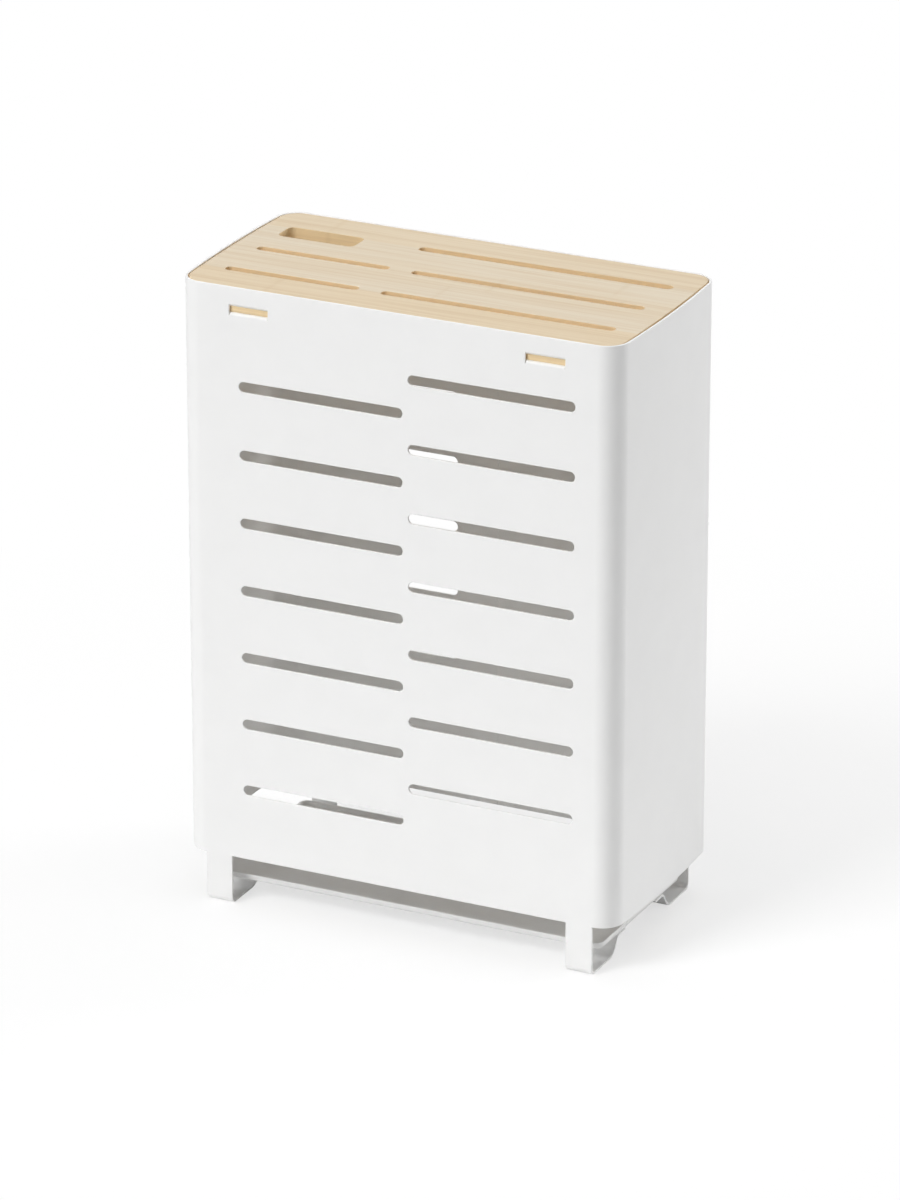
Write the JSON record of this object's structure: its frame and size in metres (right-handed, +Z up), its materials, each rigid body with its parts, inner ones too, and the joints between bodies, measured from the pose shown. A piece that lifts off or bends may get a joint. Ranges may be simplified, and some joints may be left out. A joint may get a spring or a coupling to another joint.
{
  "type": "knife block",
  "caption": "Upright knife block: folded white steel body with air slots on hooked feet, drop-in bamboo board with blade slots and a shears hole, and a pull-out drip tray.",
  "frame": {"origin": "on the ground under the centre of the body", "axes": "+Z up, the slotted front faces -Y, +X to the right seen from the front"},
  "size_m": [0.2, 0.098, 0.2738],
  "materials": {
    "white_steel": "fine matt powder coat",
    "bamboo": "oiled laminated bamboo",
    "tray_steel": "fine matt powder coat"
  },
  "bodies": {
    "body": {"body": "white_steel"},
    "board": {"board": "bamboo"},
    "tray": {"tray": "tray_steel"}
  },
  "joints": [
    {"name": "board_lift", "type": "slide", "parent": "body", "child": "board", "axis": [0, 0, 1], "range_m": [0, 0.03]},
    {"name": "tray_slide", "type": "slide", "parent": "body", "child": "tray", "axis": [1, 0, 0], "range_m": [-0.19, 0.19]}
  ]
}
